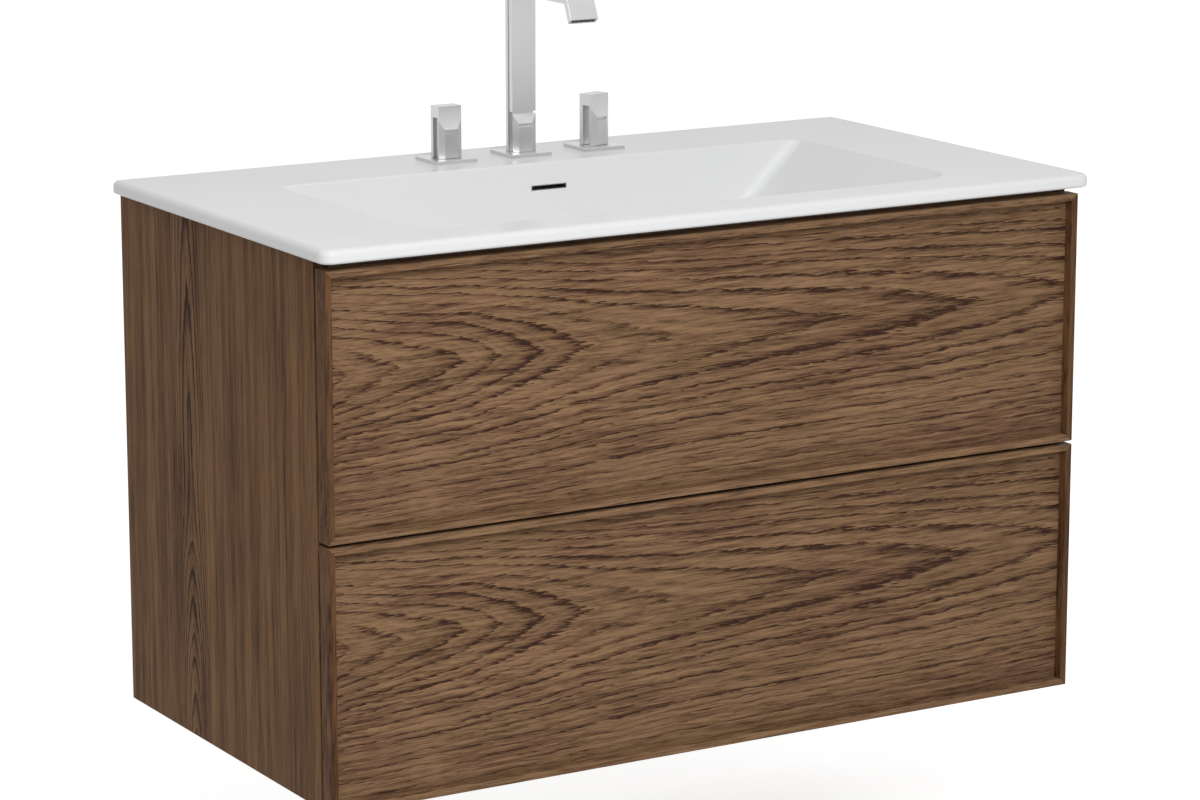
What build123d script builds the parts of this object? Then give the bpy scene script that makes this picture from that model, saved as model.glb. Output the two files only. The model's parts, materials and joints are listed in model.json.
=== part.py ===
from build123d import *
import math
import os

# A wall-hung vanity unit: a carcass with two drawers, a ceramic basin and a three-hole basin tap.
# X runs across the unit, with zero on its centreline. Y is zero at the wall and negative in the room.
# Z is zero at the centre of the wall fixings.

# Basin, which sets the size of all that stands under it
basin_width = 1000.0
basin_depth = 534.0
basin_side_overhang = 8.5
basin_front_overhang = 15.0
deck_thickness = 16.0
basin_corner_radius = 15.0
basin_top_edge_radius = 7.0
basin_lower_edge_radius = 4.0

# Bowl, with its margins measured on the deck
bowl_side_margin = 145.0
bowl_front_margin = 61.0
bowl_back = 134.0
bowl_depth = 100.0
bowl_side_run = 110.0
bowl_back_run = 7.0
bowl_front_run = 22.0
bowl_back_corner_radius = 14.0
bowl_front_corner_radius = 55.0
bowl_floor_radius = 13.0
bowl_rim_radius = 2.5
bowl_wall = 9.0

# Carcass
carcass_height = 604.0
board = 18.0
fixing_drop = 29.0

# Rails that tie the two sides together
rail_height = 80.0
rail_setback = 20.0
upper_rail_drop = 65.0
front_rail_height = 50.0
front_rail_thickness = 10.0

# Cam fasteners
cam_radius = 7.5
cam_depth = 12.5
cam_inset = 34.0
cam_bolt_radius = 3.0
cam_bolt_bite = 10.0
cam_clearance = 0.05

# Wall plates and hanging brackets
plate_width = 60.0
plate_height = 54.0
plate_thickness = 3.0
plate_side_gap = 2.0
plate_hole_radius = 4.5
plate_hole_spacing = 32.0
plate_hole_inset = 18.0
hook_width = 20.0
hook_flange_height = 15.0
hook_space = 3.0
hook_clearance = 0.3
bracket_length = 45.0
bracket_height = 36.0
bracket_width = 22.0

# Drawer fronts
front_thickness = 22.0
front_gap = 4.0
front_spacing = 4.0
shadow_gap = 9.0
lip_width = 8.0
lip_depth = 12.0

# Drawer boxes
box_board = 15.0
box_bottom_thickness = 8.0
box_bottom_rise = 10.0
box_lift = 12.0
lower_box_height = 210.0
upper_box_height = 158.0
rear_space = 62.0

# Space in the upper drawer for the trap
guard_side_gap = 68.0
guard_front_gap = 23.0
guard_thickness = 8.0

# Runners
runner_width = 12.7
runner_height = 45.0
runner_sheet = 1.5
runner_gap = 0.6
runner_rise = 15.0
runner_front_inset = 4.0
runner_rear_space = 60.0

# Push latches
latch_width = 12.0
latch_height = 14.0
latch_length = 60.0
latch_drop = 60.0
plunger_radius = 4.0
plunger_length = 48.0
plunger_travel = 4.0
plunger_clearance = 0.05
touch_gap = 0.3

# Overflow
overflow_length = 48.0
overflow_height = 6.4
overflow_drop = 30.0
overflow_trim_wall = 0.7
overflow_trim_clearance = 0.1

# Waste
waste_from_wall = 274.0
waste_hole_radius = 22.5
waste_tube_radius = 21.0
waste_tube_bore = 17.0
waste_tube_length = 60.0
waste_flange_radius = 31.0
waste_flange_thickness = 2.5
waste_seal_radius = 32.0
waste_seal_thickness = 4.0
waste_nut_radius = 31.0
waste_nut_height = 12.0
thread_clearance = 0.05

# Plug
plug_radius = 29.0
plug_thickness = 5.0
plug_stem_radius = 4.0
plug_stem_length = 40.0
plug_hub_radius = 8.0
plug_hub_height = 12.0
plug_spoke_width = 3.0
plug_clearance = 0.05

# Trap
pipe_radius = 16.0
pipe_wall = 1.8
trap_radius = 32.0
trap_height = 92.0
trap_wall = 3.0
trap_drop = 26.0
trap_dip = 55.0
trap_outlet_drop = 24.0
slip_nut_radius = 24.0
slip_nut_height = 18.0
outlet_end = 10.0
outlet_spigot = 60.0
stop_bead_rise = 2.0
stop_bead_width = 4.0

# Tap, shared by its three stations
tap_from_wall = 69.0
tap_pitch = 101.6
tap_plate_size = 54.0
tap_plate_thickness = 4.5
tap_plate_edge_radius = 0.6
deck_hole_radius = 17.5
shank_radius = 16.0
shank_length = 56.0
back_nut_radius = 25.0
back_nut_height = 8.0
boss_clearance = 0.1
foot_block_height = 46.0
foot_bevel_side = 7.0
foot_bevel_top = 11.0
foot_block_rise = 3.5
foot_groove_height = 3.0
foot_groove_width = 18.0
foot_groove_drop = 1.5
pocket_height = 48.0
pocket_width = 11.0
rear_leg = 5.6

# Handles
handle_width = 31.0
handle_depth = 19.0
handle_height = 62.0
handle_gap = 0.3
handle_pocket_depth = 5.5
handle_groove_depth = 2.5
hot_handle_turn = 0.0
cold_handle_turn = 17.0
spindle_radius = 5.0
spindle_socket = 14.0
spindle_reach = 24.0
spindle_clearance = 0.05
valve_boss_radius = 9.0
valve_tail_radius = 10.475
valve_tail_length = 18.0

# Spout
spout_height = 204.0
column_width = 32.0
column_depth = 16.6
column_groove_width = 4.0
column_groove_depth = 2.0
column_pocket_depth = 3.5
column_foot_groove_depth = 0.8
arm_thickness = 9.0
arm_tip_width = 37.0
nose_reach = 142.5
nose_lean = 24.0
nose_thickness = 8.0
nose_length = 28.5
mouth_cut = 18.0
outlet_width = 31.0
outlet_height = 5.0
outlet_depth = 4.0
outlet_recess = 1.0
outlet_clearance = 0.1
spout_spigot_radius = 6.5
spout_spigot_length = 20.0
spigot_clearance = 0.05

# Levels and planes that follow from the sizes above
carcass_width = basin_width - 2 * basin_side_overhang
carcass_depth = basin_depth - basin_front_overhang - front_thickness - front_gap
bowl_half_width = basin_width / 2 - bowl_side_margin
bowl_front = basin_depth - bowl_front_margin
top = fixing_drop
bottom = top - carcass_height
deck_top = top + deck_thickness
inner = carcass_width / 2 - board
front_back = -(carcass_depth + front_gap)
front_face = front_back - front_thickness
front_height = (carcass_height - shadow_gap - front_spacing) / 2
upper_front_bottom = bottom + front_height + front_spacing
box_outer = inner - runner_width
box_inner = box_outer - box_board
box_back = -rear_space
lower_box_bottom = bottom + board + box_lift
upper_box_bottom = upper_front_bottom + box_lift
bowl_floor = deck_top - bowl_depth
shell_bottom = bowl_floor - bowl_wall
plate_top = deck_top + tap_plate_thickness
tap_stations = {"hot": -tap_pitch, "spout": 0, "cold": tap_pitch}
shank_low = deck_top - shank_length
back_nut_bore = shank_radius + thread_clearance
waste_place = (0, -waste_from_wall)
waste_flange_low = bowl_floor - waste_flange_thickness / 2
waste_tube_end = waste_flange_low - waste_tube_length

# How far a cutter runs past the face it opens, and how close a level or an edge's slope must match
cut_past = 1.0
level_tolerance = 0.01
lean_threshold = 0.2


def block(x_range, y_range, z_range):
    """A box between two corners, given as a low and a high value on each axis."""
    size = [high - low for low, high in (x_range, y_range, z_range)]
    middle = [(high + low) / 2 for low, high in (x_range, y_range, z_range)]
    return Pos(*middle) * Box(*size)


def cylinder_between(start, end, radius):
    """A round bar whose axis runs from one point to another."""
    start, end = Vector(*start), Vector(*end)
    along = end - start
    plane = Plane(origin=(start + end) * 0.5, z_dir=along)
    return plane * Cylinder(radius, along.length)


def group(solids):
    """Several separate solids kept in one node."""
    return Compound(children=list(solids))


def both_sides(shape):
    """A shape and its mirror image across the centreline."""
    return [shape, mirror(shape, about=Plane.YZ)]


def upright(place, z_range, radius):
    """A round bar along Z at one place in plan."""
    return cylinder_between((*place, z_range[0]), (*place, z_range[1]), radius)


def upright_tube(place, z_range, radius, bore):
    """A round tube along Z at one place in plan."""
    hole_z = (z_range[0] - cut_past, z_range[1] + cut_past)
    return upright(place, z_range, radius) - upright(place, hole_z, bore)


def outward_bar(z, y_range, radius):
    """A round bar along Y on the centreline, at one level."""
    return cylinder_between((0, y_range[0], z), (0, y_range[1], z), radius)


def hexagon_nut(place, z_range, radius, bore):
    """A six-sided nut standing between two levels."""
    low, high = z_range
    body = Pos(*place, low) * extrude(RegularPolygon(radius, 6), high - low)
    return body - upright(place, (low - cut_past, high + cut_past), bore)


# Carcass

def cam_places():
    """Where each cam fastener sits, as its y and z on the joint and the direction its disc is sunk from."""
    upper_rail_z = top - upper_rail_drop - rail_height / 2
    lower_rail_z = bottom + board + rail_height / 2
    rail_y = -(rail_setback + board / 2)
    shelf_z = bottom + board / 2
    return {
        "upper_rear_rail": [(rail_y, upper_rail_z, "y")],
        "lower_rear_rail": [(rail_y, lower_rail_z, "y")],
        "carcass_bottom": [
            (-carcass_depth + cam_inset * 2, shelf_z, "z"),
            (-(rail_setback + board + cam_inset), shelf_z, "z"),
        ],
    }


def cam_fastener(y, z, sunk_from, spare=0.0):
    """One cam disc with its bolt, at the right-hand side of the carcass."""
    x = inner - cam_inset
    radius = cam_radius + spare
    if sunk_from == "y":
        face = y - board / 2
        disc = cylinder_between((x, face, z), (x, face + cam_depth, z), radius)
    else:
        face = z + board / 2
        disc = cylinder_between((x, y, face - cam_depth), (x, y, face), radius)
    bolt_end = inner + cam_bolt_bite + spare
    return disc + cylinder_between((x, y, z), (bolt_end, y, z), cam_bolt_radius + spare)


def cut_for_cams(shape, panel=None):
    """Takes the cam pockets out of one panel, or the bolt holes of every joint out of the sides."""
    for name, places in cam_places().items():
        if panel in (None, name):
            for y, z, sunk_from in places:
                for cutter in both_sides(cam_fastener(y, z, sunk_from, cam_clearance)):
                    shape = shape - cutter
    return shape


def carcass_nodes():
    side = block((inner, carcass_width / 2), (-carcass_depth, 0), (bottom, top))
    side = cut_for_cams(side)
    rear_rail_y = (-(rail_setback + board), -rail_setback)
    upper_rail_top = top - upper_rail_drop
    floor = block((-inner, inner), (-carcass_depth, 0), (bottom, bottom + board))
    upper_rail = block((-inner, inner), rear_rail_y, (upper_rail_top - rail_height, upper_rail_top))
    lower_rail_z = (bottom + board, bottom + board + rail_height)
    lower_rail = block((-inner, inner), rear_rail_y, lower_rail_z)
    front_rail_y = (-carcass_depth, -carcass_depth + front_rail_thickness)
    cams = []
    for places in cam_places().values():
        for y, z, sunk_from in places:
            cams += both_sides(cam_fastener(y, z, sunk_from))
    return {
        "carcass_side_right": side,
        "carcass_side_left": mirror(side, about=Plane.YZ),
        "carcass_bottom": cut_for_cams(floor, "carcass_bottom"),
        "upper_rear_rail": cut_for_cams(upper_rail, "upper_rear_rail"),
        "lower_rear_rail": cut_for_cams(lower_rail, "lower_rear_rail"),
        "front_rail": block((-inner, inner), front_rail_y, (top - front_rail_height, top)),
        "cam_fasteners": group(cams),
    }


def hanging_nodes():
    """The plate screwed to the wall, and the bracket on the carcass side that hooks over its flange."""
    outer_x = inner - plate_side_gap
    plate_x = (outer_x - plate_width, outer_x)
    plate_bottom = -plate_height / 2
    plate_head = plate_height / 2
    hook_x = (inner - hook_width, outer_x)
    flange_y = (-(hook_space + 2 * plate_thickness), -(hook_space + plate_thickness))
    flange_bottom = plate_head - hook_flange_height
    plate = block(plate_x, (-plate_thickness, 0), (plate_bottom, plate_head))
    web_z = (flange_bottom - plate_thickness, flange_bottom)
    plate += block(hook_x, (flange_y[0], 0), web_z)
    plate += block(hook_x, flange_y, (flange_bottom - plate_thickness, plate_head - hook_space))
    hole_x = plate_x[0] + plate_hole_inset
    for z in (-plate_hole_spacing / 2, plate_hole_spacing / 2):
        plate -= cylinder_between((hole_x, -board, z), (hole_x, board, z), plate_hole_radius)

    bracket_front = flange_y[0] - hook_clearance
    bracket_z = (plate_head - bracket_height, plate_head)
    bracket_x = (inner - bracket_width, inner)
    bracket = block(bracket_x, (bracket_front - bracket_length, bracket_front), bracket_z)
    over_flange = plate_head - hook_space + hook_clearance
    tongue_y = (flange_y[1] + hook_clearance, -plate_thickness - hook_clearance)
    bracket += block(bracket_x, (bracket_front, tongue_y[1]), (over_flange, plate_head))
    bracket += block(bracket_x, tongue_y, (flange_bottom + hook_clearance, plate_head))
    return {
        "wall_plates": group(both_sides(plate)),
        "hanging_brackets": group(both_sides(bracket)),
    }


# Drawers

def lipping(corners):
    """One mitred strip of a drawer front's frame, from its four corners in the plane of the front."""
    outline = Polyline(*[(x, front_back, z) for x, z in corners], close=True)
    return extrude(make_face(outline), front_thickness, dir=(0, -1, 0))


def drawer_front(low):
    """The four mitred lippings and the set-back panel of one front, standing on the given level."""
    half = carcass_width / 2
    high = low + front_height
    outer = [(-half, low), (half, low), (half, high), (-half, high)]
    half_in, low_in, high_in = half - lip_width, low + lip_width, high - lip_width
    opening = [(-half_in, low_in), (half_in, low_in), (half_in, high_in), (-half_in, high_in)]
    frame = []
    for start in range(4):
        end = (start + 1) % 4
        frame.append(lipping([outer[start], outer[end], opening[end], opening[start]]))
    panel_y = (front_face + lip_depth, front_back)
    panel = block((-half_in, half_in), panel_y, (low_in, high_in))
    return group(frame), panel


def drawer_box(low, height):
    """The plain box of one drawer: inner front, side, back and bottom."""
    z_range = (low, low + height)
    bottom_z = (low + box_bottom_rise, low + box_bottom_rise + box_bottom_thickness)
    across = (-box_inner, box_inner)
    front_board = block(across, (front_back, front_back + box_board), z_range)
    side = block((box_inner, box_outer), (front_back, box_back), z_range)
    back = block(across, (box_back - box_board, box_back), z_range)
    inside_y = (front_back + box_board, box_back - box_board)
    base = block(across, inside_y, bottom_z)
    return front_board, side, back, base


def lower_drawer_nodes():
    frame, panel = drawer_front(bottom)
    front_board, side, back, base = drawer_box(lower_box_bottom, lower_box_height)
    return {
        "lower_front_frame": frame,
        "lower_front_panel": panel,
        "lower_box_front": front_board,
        "lower_box_side_right": side,
        "lower_box_side_left": mirror(side, about=Plane.YZ),
        "lower_box_back": back,
        "lower_box_bottom": base,
    }


def upper_drawer_nodes():
    """The upper drawer's back and bottom stop either side of a guard that goes round the trap."""
    frame, panel = drawer_front(upper_front_bottom)
    front_board, side, back, base = drawer_box(upper_box_bottom, upper_box_height)
    notch = trap_radius + guard_side_gap
    notch_front = -(waste_from_wall + trap_radius + guard_front_gap)
    guard_outer = notch + guard_thickness
    guard_z = (upper_box_bottom, upper_box_bottom + upper_box_height)
    guard = block((-guard_outer, guard_outer), (notch_front - guard_thickness, box_back), guard_z)
    guard -= block((-notch, notch), (notch_front, 0), (bottom, top))
    footprint = block((-guard_outer, guard_outer), (notch_front - guard_thickness, 0), (bottom, top))
    half_back = back - footprint - block((-box_inner, 0), (-carcass_depth, 0), (bottom, top))
    return {
        "upper_front_frame": frame,
        "upper_front_panel": panel,
        "upper_box_front": front_board,
        "upper_box_side_right": side,
        "upper_box_side_left": mirror(side, about=Plane.YZ),
        "upper_box_back_halves": group(both_sides(half_back.solid())),
        "upper_box_bottom": base - footprint,
        "upper_trap_guard": guard,
    }


def channel(x_open, x_web, half_height, y_range, z):
    """A C-shaped runner member, open at x_open, with its web at x_web."""
    low, high = sorted((x_open, x_web))
    inward = runner_sheet if x_web < x_open else -runner_sheet
    hollow = sorted((x_web + inward, x_open + inward * 2))
    body = block((low, high), y_range, (z - half_height, z + half_height))
    inside = half_height - runner_sheet
    return body - block(hollow, y_range, (z - inside, z + inside))


def runner_nodes(name, box_bottom):
    """The cabinet, middle and drawer members of one drawer's two runners."""
    z = box_bottom + runner_rise + runner_height / 2
    y_range = (-carcass_depth + runner_front_inset, -runner_rear_space)
    cabinet_half = runner_height / 2
    middle_half = cabinet_half - runner_sheet - runner_gap
    drawer_half = middle_half - runner_sheet - runner_gap
    web_step = runner_sheet + runner_gap
    open_x = box_outer + runner_sheet + runner_gap / 2
    cabinet = channel(open_x, inner, cabinet_half, y_range, z)
    middle = channel(open_x, inner - web_step, middle_half, y_range, z)
    drawer = channel(inner - 2 * web_step, box_outer, drawer_half, y_range, z)
    return {
        name + "_runner_cabinet_members": group(both_sides(cabinet)),
        name + "_runner_middle_members": group(both_sides(middle)),
        name + "_runner_drawer_members": group(both_sides(drawer)),
    }


def latch_nodes(name, front_top):
    """The two push latches of one drawer: a housing on each carcass side, and its plunger."""
    x = inner - latch_width / 2
    z = front_top - latch_drop
    y_front = -carcass_depth + touch_gap
    z_range = (z - latch_height / 2, z + latch_height / 2)
    housing = block((inner - latch_width, inner), (y_front, y_front + latch_length), z_range)
    tip = front_back + touch_gap
    bore_end = tip + plunger_length + plunger_travel + touch_gap
    bore_radius = plunger_radius + plunger_clearance
    housing -= cylinder_between((x, tip - front_gap, z), (x, bore_end, z), bore_radius)
    plunger = cylinder_between((x, tip, z), (x, tip + plunger_length, z), plunger_radius)
    right, left = both_sides(plunger)
    return {
        name + "_latch_housings": group(both_sides(housing)),
        name + "_latch_plunger_right": right,
        name + "_latch_plunger_left": left,
    }


# Basin

def leaning_edges(prism, y_range):
    """The edges between a bowl's walls whose middles lie in one range of Y."""
    low, high = y_range
    return [
        edge
        for edge in prism.edges()
        if abs(edge.tangent_at(0.5).Z) > lean_threshold and low < edge.center().Y < high
    ]


def level_edges(shape, level):
    """The edges that lie at one level."""
    return [edge for edge in shape.edges() if abs(edge.center().Z - level) < level_tolerance]


def level_rectangle(x_half, y_range, z):
    """A level rectangle, centred across the unit."""
    front, back = y_range
    corners = [(-x_half, front), (x_half, front), (x_half, back), (-x_half, back)]
    return make_face(Polyline(*[(x, y, z) for x, y in corners], close=True))


def bowl_prism(margin, floor_level, floor_fillet):
    """The tapering space of the bowl, grown outwards by a margin, from the deck down to a level."""
    share = (deck_top - floor_level) / bowl_depth
    rim_half = bowl_half_width + margin
    rim_y = (-(bowl_front + margin), -(bowl_back - margin))
    floor_y = (rim_y[0] + bowl_front_run * share, rim_y[1] - bowl_back_run * share)
    upper = level_rectangle(rim_half, rim_y, deck_top)
    lower = level_rectangle(rim_half - bowl_side_run * share, floor_y, floor_level)
    prism = loft([upper, lower], ruled=True)
    middle = sum(rim_y) / 2
    prism = fillet(leaning_edges(prism, (-basin_depth, middle)), bowl_front_corner_radius + margin)
    prism = fillet(leaning_edges(prism, (middle, 0)), bowl_back_corner_radius + margin)
    return fillet(level_edges(prism, floor_level), floor_fillet)


def basin():
    """The deck with its rounded edges, and the bowl's shell hanging below it."""
    half = basin_width / 2
    deck = block((-half, half), (-basin_depth, 0), (top, deck_top))
    front_corners = deck.edges().filter_by(Axis.Z).sort_by(Axis.Y)[:2]
    deck = fillet(front_corners, basin_corner_radius)
    for level, radius in ((deck_top, basin_top_edge_radius), (top, basin_lower_edge_radius)):
        free_edges = [edge for edge in level_edges(deck, level) if edge.center().Y < -radius]
        deck = fillet(free_edges, radius)
    shell = bowl_prism(bowl_wall, shell_bottom, bowl_floor_radius + bowl_wall)
    body = deck + shell - bowl_prism(0, bowl_floor, bowl_floor_radius)
    rim = [
        edge
        for edge in level_edges(body, deck_top)
        if abs(edge.center().X) <= bowl_half_width
        and -bowl_front <= round(edge.center().Y, 3) <= -bowl_back
    ]
    body = fillet(rim, bowl_rim_radius)
    for x in tap_stations.values():
        place = (x, -tap_from_wall)
        body -= upright(place, (top - cut_past, deck_top + cut_past), deck_hole_radius)
    body -= upright(waste_place, (shell_bottom - cut_past, deck_top), waste_hole_radius)
    body -= upright(waste_place, (waste_flange_low, deck_top), waste_flange_radius + touch_gap)
    return body - overflow_slot(0, (bowl_back - 2 * bowl_wall, bowl_back + bowl_back_run + cut_past))


def overflow_slot(inset, from_wall):
    """A bar of the overflow's outline drawn in by an inset, between two distances from the wall."""
    z = deck_top - overflow_drop
    half = overflow_length / 2 - inset
    half_height = overflow_height / 2 - inset
    near, far = from_wall
    return block((-half, half), (-far, -near), (z - half_height, z + half_height))


def overflow_trim():
    """A metal liner in the overflow slot, just proud of the bowl's face."""
    face = bowl_back + bowl_back_run * overflow_drop / bowl_depth + touch_gap
    back = bowl_back - bowl_wall
    liner = overflow_slot(overflow_trim_clearance, (back, face))
    inside = overflow_trim_clearance + overflow_trim_wall
    return liner - overflow_slot(inside, (back - cut_past, face + cut_past))


# Waste and trap

def waste_nodes():
    flange_top = waste_flange_low + waste_flange_thickness
    flange = upright(waste_place, (waste_flange_low, flange_top), waste_flange_radius)
    flange += upright(waste_place, (waste_tube_end, waste_flange_low), waste_tube_radius)
    flange -= upright(waste_place, (waste_tube_end - cut_past, flange_top + cut_past), waste_tube_bore)
    hub_top = waste_flange_low - plug_hub_height
    hub_z = (hub_top - plug_hub_height, hub_top)
    spoke_y = (-plug_spoke_width / 2, plug_spoke_width / 2)
    spoke = block((0, (waste_tube_bore + waste_tube_radius) / 2), spoke_y, hub_z)
    for angle in (0, 120, 240):
        flange += Pos(*waste_place, 0) * Rot(0, 0, angle) * spoke
    flange += upright(waste_place, hub_z, plug_hub_radius)
    hub_hole_z = (hub_z[0] - cut_past, hub_z[1] + cut_past)
    flange -= upright(waste_place, hub_hole_z, plug_stem_radius + plug_clearance)

    cap_low = flange_top + touch_gap
    plug = upright(waste_place, (cap_low, cap_low + plug_thickness), plug_radius)
    plug = fillet(plug.edges().group_by(Axis.Z)[-1], plug_thickness / 2)
    plug += upright(waste_place, (cap_low - plug_stem_length, cap_low), plug_stem_radius)

    bore = waste_tube_radius + thread_clearance
    seal_low = shell_bottom - waste_seal_thickness
    seal = upright_tube(waste_place, (seal_low, shell_bottom), waste_seal_radius, bore)
    nut_z = (seal_low - waste_nut_height, seal_low)
    return {
        "waste_flange": flange,
        "waste_plug": plug,
        "waste_seal": seal,
        "waste_nut": hexagon_nut(waste_place, nut_z, waste_nut_radius, bore),
    }


def trap_nodes():
    """A bottle trap under the waste, with its outlet pipe to the wall."""
    trap_top = waste_tube_end - trap_drop
    outlet_z = trap_top - trap_outlet_drop
    tail_radius = waste_tube_bore - thread_clearance
    tail_bore = tail_radius - pipe_wall
    tail_hole = tail_radius + thread_clearance
    outlet_hole = pipe_radius + thread_clearance
    bottle_face = -waste_from_wall + trap_radius
    socket_end = bottle_face + slip_nut_height / 2

    tail_z = (trap_top - trap_dip, waste_tube_end + slip_nut_height)
    trap = upright(waste_place, (trap_top - trap_height, trap_top), trap_radius)
    trap = fillet(trap.edges().group_by(Axis.Z)[0], trap_wall / 2)
    trap += outward_bar(outlet_z, (-waste_from_wall, socket_end), pipe_radius + trap_wall)
    inside_z = (trap_top - trap_height + trap_wall, trap_top - trap_wall)
    trap -= upright(waste_place, inside_z, trap_radius - trap_wall)
    trap -= upright(waste_place, (inside_z[1] - cut_past, trap_top + cut_past), tail_hole)
    trap -= outward_bar(outlet_z, (-waste_from_wall, socket_end + cut_past), outlet_hole)

    outlet_y = (bottle_face - trap_wall, -outlet_end)
    outlet = outward_bar(outlet_z, outlet_y, pipe_radius)
    bead_end = -(outlet_end + outlet_spigot)
    outlet += outward_bar(outlet_z, (bead_end - stop_bead_width, bead_end), pipe_radius + stop_bead_rise)
    outlet_bore_y = (outlet_y[0] - cut_past, outlet_y[1] + cut_past)
    outlet -= outward_bar(outlet_z, outlet_bore_y, pipe_radius - pipe_wall)

    top_nut = upright_tube(waste_place, (trap_top, trap_top + slip_nut_height), slip_nut_radius, tail_hole)
    side_nut_y = (socket_end, socket_end + slip_nut_height)
    side_nut = outward_bar(outlet_z, side_nut_y, slip_nut_radius)
    side_nut -= outward_bar(outlet_z, (side_nut_y[0] - cut_past, side_nut_y[1] + cut_past), outlet_hole)
    return {
        "tail_pipe": upright_tube(waste_place, tail_z, tail_radius, tail_bore),
        "trap": trap,
        "trap_outlet_pipe": outlet,
        "slip_nuts": group([top_nut, side_nut]),
    }


# Tap

def foot_block(width, front, low):
    """The raised block with bevelled edges at the foot of the spout and of each handle."""
    half = width / 2
    near_half = half - foot_bevel_side
    high = low + foot_block_height
    near_high = high - foot_bevel_top
    faces = []
    for y, x_half, head in ((front, half, high), (front - foot_block_rise, near_half, near_high)):
        corners = [(-x_half, low), (x_half, low), (x_half, head), (-x_half, head)]
        faces.append(make_face(Polyline(*[(x, y, z) for x, z in corners], close=True)))
    return loft(faces, ruled=True)


def foot_groove(front, low, depth):
    """The short level groove across the head of the foot block."""
    high = low + foot_block_height - foot_bevel_top - foot_groove_drop
    near = front - foot_block_rise
    half = foot_groove_width / 2
    return block((-half, half), (near - cut_past, near + depth), (high - foot_groove_height, high))


def side_grooves(width, back, groove_width, depth, z_range):
    """An upright groove in each side, just in front of the rear leg."""
    half = width / 2
    y_range = (back - rear_leg - groove_width, back - rear_leg)
    return both_sides(block((half - depth, half + cut_past), y_range, z_range))


def tap_plate(x, hole_radius):
    """A square plate on the deck, with a hole for what stands through it."""
    half = tap_plate_size / 2
    y = -tap_from_wall
    plate = block((x - half, x + half), (y - half, y + half), (deck_top, plate_top))
    plate = fillet(plate.edges().group_by(Axis.Z)[-1], tap_plate_edge_radius)
    return plate - upright((x, y), (deck_top - cut_past, plate_top + cut_past), hole_radius)


def handle(x, turn):
    """A handle at one station, turned about its own upright axis."""
    back, front = handle_depth / 2, -handle_depth / 2
    half = handle_width / 2
    body = block((-half, half), (front, back), (0, handle_height))
    pocket_z = (-cut_past, pocket_height)
    for pocket in side_grooves(handle_width, back, pocket_width, handle_pocket_depth, pocket_z):
        body -= pocket
    body += foot_block(handle_width, front, 0)
    body -= foot_groove(front, 0, handle_groove_depth)
    body -= upright((0, 0), (-cut_past, spindle_socket), spindle_radius + spindle_clearance)
    return Pos(x, -tap_from_wall, plate_top + handle_gap) * Rot(0, 0, turn) * body


def valve_nodes(name, turn):
    """One valve: its body under the deck, the plate on the deck, and the handle on its spindle."""
    place = (tap_stations[name], -tap_from_wall)
    boss_top = plate_top - handle_gap
    spindle_low = boss_top - spindle_reach
    spindle_top = plate_top + handle_gap + spindle_socket - touch_gap
    valve = upright(place, (shank_low, deck_top), shank_radius)
    valve += upright(place, (deck_top, boss_top), valve_boss_radius)
    valve += upright(place, (shank_low - valve_tail_length, shank_low), valve_tail_radius)
    bore_z = (spindle_low - touch_gap, boss_top + cut_past)
    valve -= upright(place, bore_z, spindle_radius + spindle_clearance)
    return {
        name + "_valve_body": valve,
        name + "_valve_plate": tap_plate(place[0], valve_boss_radius + boss_clearance),
        name + "_handle": handle(place[0], turn),
        name + "_spindle": upright(place, (spindle_low, spindle_top), spindle_radius),
    }


def nose_points():
    """The nose in side view, as y from the column's front face and z from the deck."""
    lean = math.radians(nose_lean)
    down = Vector(-math.sin(lean), -math.cos(lean))
    square = Vector(math.cos(lean), -math.sin(lean))
    head = Vector(-nose_reach + nose_length * math.sin(lean), spout_height)
    lip = head + down * nose_length
    tip = lip + square * nose_thickness + down * (nose_thickness * math.tan(math.radians(mouth_cut)))
    back_foot = head + square * nose_thickness
    fall = back_foot.Y - (spout_height - arm_thickness)
    armpit = back_foot + down * (fall / math.cos(lean))
    return armpit, tip, lip, head


def spout_arm(front):
    """The arm and its nose, widening from the column to the mouth."""
    armpit, tip, lip, head = nose_points()
    side_view = [Vector(0, spout_height), Vector(0, spout_height - arm_thickness), armpit, tip, lip, head]
    places = [(-arm_tip_width, front + point.X, deck_top + point.Y) for point in side_view]
    arm = extrude(make_face(Polyline(*places, close=True)), 2 * arm_tip_width, dir=(1, 0, 0))
    half, tip_half = column_width / 2, arm_tip_width / 2
    end = front + lip.X
    plan = [(-half, front), (-tip_half, end), (tip_half, end), (half, front)]
    plan_face = make_face(Polyline(*[(x, y, deck_top) for x, y in plan], close=True))
    return arm & extrude(plan_face, spout_height, dir=(0, 0, 1))


def mouth_plane(front):
    """A plane on the nose's cut end, facing out of it."""
    armpit, tip, lip, head = nose_points()
    middle = (lip + tip) * 0.5
    along = (tip - lip).normalized()
    place = (0, front + middle.X, deck_top + middle.Y)
    return Plane(origin=place, x_dir=(1, 0, 0), z_dir=(0, along.Y, -along.X))


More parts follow.
